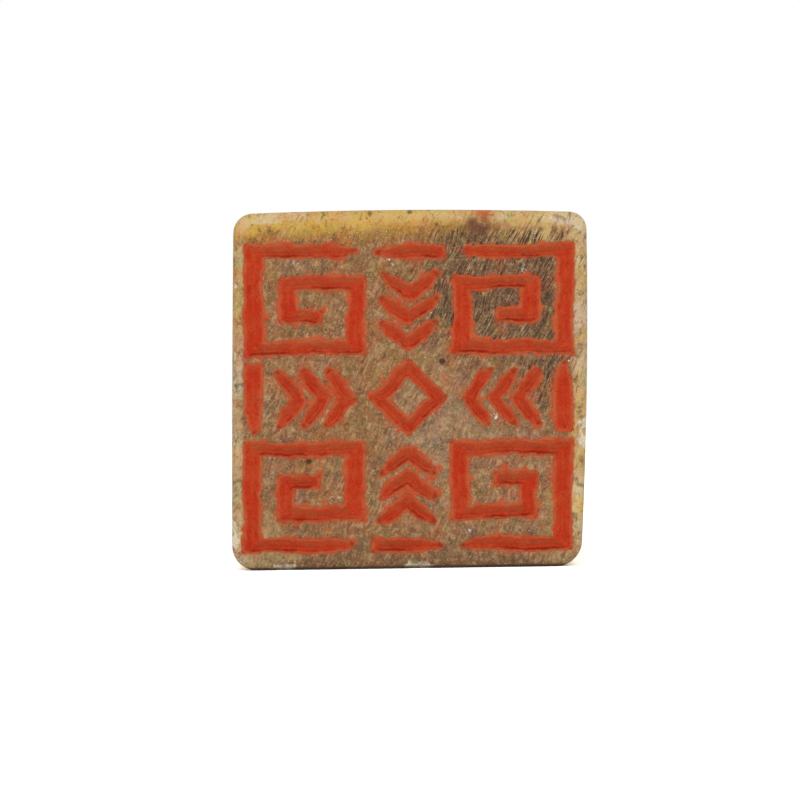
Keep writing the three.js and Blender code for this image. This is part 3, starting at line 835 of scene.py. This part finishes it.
def stone_material():
    s = Shader("soapstone")
    front = s.step(s.sum(s.y, s.times(s.noise(1.2, 3.0), 0.9)), *(FACE_Y + y for y in FACE_LOOK))
    broad = s.noise(8.0, 3.0, distortion=0.6)
    patch = s.noise(2.2, 4.0, 0.6, distortion=0.4)
    cloud = s.noise(0.7, 4.0, 0.65)
    grain = s.noise(0.18, 3.0, 0.7)
    sweep = s.streaks(SCRATCH_ANGLE, 0.8, 0.15)
    face_tone = face_colours(s, broad, patch, cloud, sweep)
    tone = s.mix(front, side_colours(s, broad, patch, cloud), face_tone)

    # Worn edges, with a pale sliver along the left end of the top, and a pale top right corner
    top = s.field("top")
    sliver = s.sum(top, s.times(s.sum(s.x, -PALE_FROM), 0.09), s.times(cloud, 0.7))
    right_sliver = s.sum(top, s.times(s.sum(s.x, -PALE_TO), -0.06), s.times(s.sum(cloud, patch), 0.9))
    corner = s.math("MAXIMUM", s.step(sliver, 1.0, 0.6), s.step(right_sliver, 1.8, 0.6))
    worn = s.sum(s.field("worn"), s.times(front, corner, 0.7), s.times(cloud, 0.4), s.times(grain, 0.3))
    worn = s.step(worn, 0.5, 1.3)
    tone = s.mix(s.times(worn, 0.85), tone, s.mix(s.step(patch, 0.35, 0.6), PALE, PALE_YELLOW))

    # Rust-coloured smears of thin paste beside the cuts
    beside = s.field("stain")
    feather = s.times(s.noise(0.3, 4.0, 0.8), -0.6)
    smear = s.times(s.step(s.noise(1.9, 3.0, 0.6), 0.5, 0.7), -1.0)
    tone = s.mix(s.times(s.step(s.sum(beside, feather, smear), 0.0, -0.5), 0.42), tone, RUST)

    # Grain, and hues that differ from grain to grain
    tone = s.mix(0.2, tone, s.hues(0.35), "OVERLAY")
    tone = s.mix(s.sum(s.times(front, 0.15), 0.1), tone, s.hues(1.2), "OVERLAY")
    mottle = s.noise(0.45, 3.0, 0.6)
    tone = s.mix(s.times(front, s.step(mottle, 0.52, 0.66), 0.35), tone, LIGHT_GRAIN)
    tone = s.mix(s.times(front, s.step(mottle, 0.47, 0.32), 0.62), tone, DARK_GRAIN)
    strength = s.sum(s.times(front, 0.15), 0.2)
    tone = s.mix(s.times(s.step(grain, 0.5, 0.68), strength), tone, LIGHT_GRAIN)
    tone = s.mix(s.times(s.step(grain, 0.48, 0.3), strength), tone, DARK_GRAIN)
    furrowed = s.times(front, s.step(s.noise(1.4, 3.0, 0.6), 0.36, 0.62))
    tone = s.mix(s.times(furrowed, s.step(sweep, 0.54, 0.7), 0.5), tone, SCORED)
    tone = s.mix(s.times(furrowed, s.step(sweep, 0.46, 0.3), 0.7), tone, DARK_GRAIN)

    # Scratches that hold dirt, and a smudge of dirt between them
    scratching = s.patches(*SCRATCHED)
    gaps = s.step(s.noise(0.5, 3.0, 0.6), 0.4, 0.52)
    fine = s.times(s.step(s.streaks(SCRATCH_ANGLE, 1.2, 0.07, 1.0), 0.52, 0.63), gaps)
    coarse = s.step(s.streaks(SCRATCH_ANGLE - 0.06, 2.1, 0.13, 3.0), 0.56, 0.66)
    smudge = s.times(s.around(*SMUDGE), s.step(cloud, 0.42, 0.62), 0.8)
    scratch = s.times(s.math("MAXIMUM", fine, coarse), s.sum(s.times(scratching, 0.9), 0.26))
    band = s.step(s.sum(top, s.times(cloud, 0.8)), 1.6, 0.8)
    clear = s.times(s.math("SUBTRACT", 1.0, worn), s.math("SUBTRACT", 1.0, band))
    scratch = s.times(front, s.math("MAXIMUM", scratch, smudge), clear)
    tone = s.mix(scratch, tone, DIRT_AND_SHADE)

    # Clusters of pale bruises, finer pale crystals, and dark pores
    bruised = s.times(s.step(s.noise(0.22, 4.0, 0.7), 0.52, 0.66), s.specks(2.4, 0.42, 0.5))
    crystals = s.step(s.noise(0.1, 2.0), 0.66, 0.74)
    pale = s.math("MAXIMUM", bruised, s.times(crystals, 0.8))
    tone = s.mix(s.times(pale, s.sum(s.times(front, 0.8), 0.2)), tone, CRYSTAL)
    tone = s.mix(s.times(s.specks(0.8, 0.07, 0.35), 0.6), tone, DIRT_AND_SHADE)

    # Pits, two old stains near the top, and the ink paste's stain beside the cuts
    sunk = s.step(s.sum(s.field("pit"), s.times(mottle, 0.04)), 0.03, 0.14)
    tone = s.mix(s.times(sunk, 0.85), tone, PIT)
    purple = s.times(s.around(*PURPLE_STAIN), s.step(cloud, 0.3, 0.5), 0.85)
    tone = s.mix(s.times(front, purple), tone, PURPLE)
    smeared = s.times(s.around(*RED_STAIN), s.step(cloud, 0.35, 0.55), 0.75)
    tone = s.mix(s.times(front, smeared), tone, STAIN)
    spreading = s.times(s.step(s.noise(1.3, 2.0), 0.45, 0.7), 0.2)
    ragged = s.sum(beside, s.times(s.noise(0.25, 4.0, 0.8), -0.3), 0.1)
    soaked = s.step(s.noise(0.9, 3.0, 0.6), 0.38, 0.58)
    tone = s.mix(s.times(s.step(ragged, s.sum(spreading, 0.05), 0.0), soaked, 0.9), tone, STAIN)
    dust = s.times(s.step(s.noise(0.16, 2.0, 0.6), 0.6, 0.7), s.step(beside, 0.8, 0.2))
    tone = s.mix(s.times(dust, s.step(s.noise(3.1, 2.0), 0.46, 0.58), 0.5), tone, STAIN)

    # Chips
    chipped = s.sum(s.field("broken"), s.times(mottle, 1.3), s.times(grain, 0.6))
    chip_tone = s.mix(s.step(grain, 0.4, 0.6), PALE, CHIP)
    tone = s.mix(s.times(s.step(chipped, 1.3, 1.75), 0.9), tone, chip_tone)

    # Painted shade along the foot where the block stands, and dark flaws in its upper edge
    foot_shade = s.times(s.step(s.z, *(low[2] + z for z in SHADED_FOOT)), 0.95)
    dark = s.math("MAXIMUM", foot_shade, s.times(s.patches(*FLAWS), 0.75))
    tone = s.mix(s.times(front, dark), tone, DIRT_AND_SHADE)

    s.put(s.surface.inputs["Base Color"], tone)
    polish = s.sum(s.times(front, 0.22), s.times(cloud, 0.15), 0.33)
    s.put(s.surface.inputs["Roughness"], polish)
    s.surface.inputs["Specular IOR Level"].default_value = STONE_SPECULAR
    height = s.sum(grain, s.times(scratch, -1.5), s.times(cloud, 0.5), s.times(front, sweep, 0.8))
    s.bump(height, 0.5)
    return s.material


def face_colours(s, broad, patch, cloud, sweep):
    """The carved face: browned by ink and handling, ochre along the top with yellow that is partly painted
    light shining through the translucent top edge, darker where it is scratched.
    """
    tone = s.mix(s.step(broad, 0.35, 0.65), BROWN, TAN)
    tone = s.mix(s.times(s.step(patch, 0.45, 0.72), 0.7), tone, GREY_BROWN)
    tone = s.mix(s.times(s.step(cloud, 0.5, 0.75), 0.5), tone, OLIVE)
    tone = s.mix(s.times(s.around(*PALE_MIDDLE), 0.6), tone, PALE_GREY)
    tone = s.mix(s.times(s.step(s.noise(2.8, 3.0, 0.6), 0.5, 0.64), 0.55), tone, PINK_GREY)
    mauve = s.times(s.around(*MAUVE_QUARTER), s.step(cloud, 0.35, 0.6), 0.38)
    tone = s.mix(mauve, tone, MAUVE_GREY)
    dark = s.patches(*SCRATCHED)
    foot = s.step(s.sum(s.z, s.times(patch, 3.0)), *(low[2] + z for z in DARK_FOOT))
    low_right = s.around(*LOWER_RIGHT)
    dark = s.math("MAXIMUM", dark, s.times(foot, s.math("SUBTRACT", 1.0, low_right), 0.9))
    tone = s.mix(s.times(dark, 0.8), tone, DARK_BROWN)
    # Along the top the stone's ochre tint, brightened with yellow and a thin pale band that are partly
    # painted light shining through the translucent top edge
    top = s.field("top")
    ochre = s.sum(top, s.times(sweep, 1.6), s.times(s.step(s.x, *OCHRE_ALONG), -1.2))
    tone = s.mix(s.times(s.step(ochre, 2.2, 0.8), 0.9), tone, OCHRE)
    tone = s.mix(s.times(s.step(s.sum(ochre, cloud), 1.6, 0.5), 0.85), tone, YELLOW)
    thin_band = s.step(s.sum(top, cloud, s.times(sweep, 0.6)), 1.45, 0.8)
    tone = s.mix(s.times(thin_band, 0.55), tone, PALE_YELLOW)
    upper_right = s.times(s.around(*UPPER_RIGHT), s.step(s.sum(sweep, cloud), 0.75, 1.15), 0.8)
    tone = s.mix(upper_right, tone, PALE_YELLOW)
    low_corner = s.times(s.around(*LOWER_LEFT), 0.75)
    tone = s.mix(low_corner, tone, PALE_OLIVE)
    tone = s.mix(s.times(low_right, 0.55), tone, PALE_OLIVE)
    return s.mix(s.times(s.patches(*YELLOWED), 0.6), tone, YELLOW)


def side_colours(s, broad, patch, cloud):
    """The sides and the end: the stone's own mottled yellow, grey and brown, with a few thin veins."""
    tone = s.mix(s.step(broad, 0.38, 0.62), SIDE_OCHRE, SIDE_YELLOW)
    greyed = s.step(s.noise(4.5, 4.0, 0.6, distortion=1.0), 0.5, 0.66)
    tone = s.mix(s.times(greyed, 0.7), tone, SIDE_GREY)
    browned = s.step(s.noise(6.0, 4.0, 0.65, distortion=1.2), 0.52, 0.7)
    tone = s.mix(s.times(browned, 0.75), tone, SIDE_BROWN)
    tone = s.mix(s.times(s.step(patch, 0.5, 0.75), 0.35), tone, SIDE_GREY)
    tone = s.mix(s.times(s.step(cloud, 0.5, 0.75), 0.3), tone, SIDE_BROWN)
    course = s.math("ABSOLUTE", s.math("SUBTRACT", s.noise(20.0, 4.0, 0.45), 0.52))
    tone = s.mix(s.times(s.step(course, 0.03, 0.0), s.step(patch, 0.3, 0.6), 0.5), tone, VEIN)
    parts = {0: s.times(s.x, 6.0), 1: s.times(s.y, 0.35), 2: s.times(s.z, 6.0)}
    ground = s.noise(1.0, 3.0, 0.6, s.add("ShaderNodeCombineXYZ", parts).outputs[0])
    tone = s.mix(s.times(s.step(ground, 0.52, 0.7), 0.35), tone, LIGHT_GRAIN)
    return s.mix(s.times(s.step(ground, 0.47, 0.3), 0.35), tone, SIDE_BROWN)


def paste_material():
    """Dried paste: lighter on the upper walls and along its thin margins, darkest at its foot and tips,
    which with the bottom of its groove are darkened with painted shade.
    """
    s = Shader("vermilion_paste")
    patch = s.noise(1.3, 3.0, 0.6)
    blotch = s.noise(0.38, 4.0, 0.7)
    grain = s.noise(0.11, 3.0, 0.8)
    drawn = s.streaks(SCRATCH_ANGLE, 0.5, 0.12)
    tone = s.mix(s.step(patch, 0.35, 0.65), VERMILION, LIGHT_VERMILION)
    tone = s.mix(s.times(s.step(blotch, 0.5, 0.68), 0.75), tone, DEEP_VERMILION)

    bare = s.sum(s.field("shed"), s.times(blotch, 1.4), s.times(patch, 0.4))
    edge = s.sum(s.field("margin"), s.times(blotch, 0.9), s.times(drawn, 0.5))
    filmy = s.sum(s.times(s.step(s.noise(0.8, 3.0, 0.6), 0.4, 0.6), 0.5), 0.35)
    thin = s.math("MAXIMUM", s.times(s.step(bare, 1.1, 1.9), 0.4), s.times(s.step(edge, 1.5, 0.7), filmy))
    tone = s.mix(thin, tone, FILM_VERMILION)
    through = s.step(s.sum(s.times(bare, 0.5), s.noise(0.7, 3.0, 0.7)), 1.25, 1.5)
    rubbed = s.step(s.sum(edge, s.noise(0.6, 3.0, 0.7)), 1.25, 0.9)
    tone = s.mix(s.times(s.math("MAXIMUM", through, rubbed), 0.45), tone, RUBBED_VERMILION)

    tone = s.mix(s.times(s.step(grain, 0.5, 0.68), 0.36), tone, DUSTY_VERMILION)
    tone = s.mix(s.times(s.step(grain, 0.48, 0.3), 0.34), tone, DARK_VERMILION)
    tone = s.mix(s.times(s.step(drawn, 0.44, 0.3), 0.15), tone, DARK_VERMILION)
    tone = s.mix(s.times(s.specks(0.7, 0.06, 0.3), 0.5), tone, DARK_VERMILION)

    # Painted shade: darker at the bottom of the groove, at the foot of a steep lower wall, where the paste
    # is also caked, and in narrow tips and corners, where it also holds dirt
    tip = s.times(s.field("tip"), s.step(blotch, 0.3, 0.5), 0.85)
    low = s.step(s.sum(s.field("depth"), s.times(patch, 0.3)), 0.5, 0.75)
    caked_and_shaded = s.step(s.sum(s.field("caked_and_shaded"), s.times(blotch, 0.9)), 0.6, 1.2)
    caked_and_shaded = s.times(caked_and_shaded, s.sum(s.times(s.step(s.noise(1.8, 2.0), 0.38, 0.6), 0.65), 0.2))
    caked_and_shaded = s.math("MAXIMUM", caked_and_shaded, tip)
    tone = s.mix(s.math("MAXIMUM", s.times(low, 0.4), caked_and_shaded), tone, DARK_VERMILION)

    s.put(s.surface.inputs["Base Color"], tone)
    s.surface.inputs["Roughness"].default_value = PASTE_ROUGHNESS
    s.surface.inputs["Specular IOR Level"].default_value = PASTE_SPECULAR
    height = s.sum(grain, s.times(blotch, 1.5))
    s.bump(height, 0.4)
    return s.material


# The floor, the light and the camera


def by_view(tree, seen, lit, output):
    """Feeds an input a number that is one thing for what the camera or a reflection sees, and another for
    the light that falls on things."""
    path = tree.nodes.new("ShaderNodeLightPath")
    either = tree.nodes.new("ShaderNodeMath")
    either.operation = "MAXIMUM"
    tree.links.new(path.outputs["Is Camera Ray"], either.inputs[0])
    tree.links.new(path.outputs["Is Glossy Ray"], either.inputs[1])
    chosen = tree.nodes.new("ShaderNodeMapRange")
    chosen.inputs["To Min"].default_value = lit
    chosen.inputs["To Max"].default_value = seen
    tree.links.new(either.outputs[0], chosen.inputs["Value"])
    tree.links.new(chosen.outputs[0], output)


def build_floor():
    mesh = bpy.data.meshes.new("floor")
    corners = [(-FLOOR, -FLOOR, 0), (FLOOR, -FLOOR, 0), (FLOOR, FLOOR, 0), (-FLOOR, FLOOR, 0)]
    mesh.from_pydata(corners, [], [(0, 1, 2, 3)])
    floor = bpy.data.objects.new("floor", mesh)
    bpy.context.scene.collection.objects.link(floor)
    material = bpy.data.materials.new("floor")
    material.use_nodes = True
    tree = material.node_tree
    surface = tree.nodes.new("ShaderNodeBsdfDiffuse")
    by_view(tree, FLOOR_SEEN, FLOOR_LIT, surface.inputs["Color"])
    tree.links.new(surface.outputs[0], tree.nodes["Material Output"].inputs["Surface"])
    mesh.materials.append(material)


def build_world():
    world = bpy.data.worlds.new("studio")
    bpy.context.scene.world = world
    world.use_nodes = True
    tree = world.node_tree
    background = tree.nodes["Background"]
    background.inputs["Color"].default_value = (1, 1, 1, 1)
    by_view(tree, 1.0, WORLD_LIT, background.inputs["Strength"])


def build_lamp(name, place, size, power):
    data = bpy.data.lights.new(name, "AREA")
    data.shape = "DISK"
    data.size = size
    data.energy = power
    lamp = bpy.data.objects.new(name, data)
    lamp.location = place
    aim = Vector((0, FACE_Y * MM, MIDDLE[1] * MM)) - lamp.location
    lamp.rotation_mode = "QUATERNION"
    lamp.rotation_quaternion = aim.to_track_quat("-Z", "Y")
    bpy.context.scene.collection.objects.link(lamp)


def build_camera():
    """The camera stands square to the face, and off its middle by what the picture is framed off it."""
    data = bpy.data.cameras.new("camera")
    data.lens = LENS
    data.sensor_width = SENSOR
    camera = bpy.data.objects.new("camera", data)
    distance = PICTURE / SCALE * LENS / SENSOR
    right = (PICTURE / 2 - FACE_CENTRE[0]) / SCALE
    up = (FACE_CENTRE[1] - PICTURE / 2) / SCALE
    turned_right = right * math.cos(ROLL) + up * math.sin(ROLL)
    turned_up = up * math.cos(ROLL) - right * math.sin(ROLL)
    x, z = MIDDLE[0] + turned_right, MIDDLE[1] + turned_up
    camera.location = Vector((x, FACE_Y - distance, z)) * MM
    camera.rotation_euler = (math.pi / 2, ROLL, 0)
    bpy.context.scene.collection.objects.link(camera)
    bpy.context.scene.camera = camera


# The scene

stone = Solid("stone_block")
section = outline(stone, FACE_Y + CLEAN_SECTION, FACE_CELLS * FINER)
face = Face(stone, section)
paste = paste_material()
covered = np.zeros(face.x.shape, bool)
for node in sorted(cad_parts):
    if node != "stone_block":
        covered |= build_paste(node, face, paste)
build_stone(stone, face, section, covered, stone_material())

build_floor()
build_world()
for name, (place, size, power) in LAMPS.items():
    build_lamp(name, place, size, power)
build_camera()
bpy.context.scene.view_settings.view_transform = "Standard"
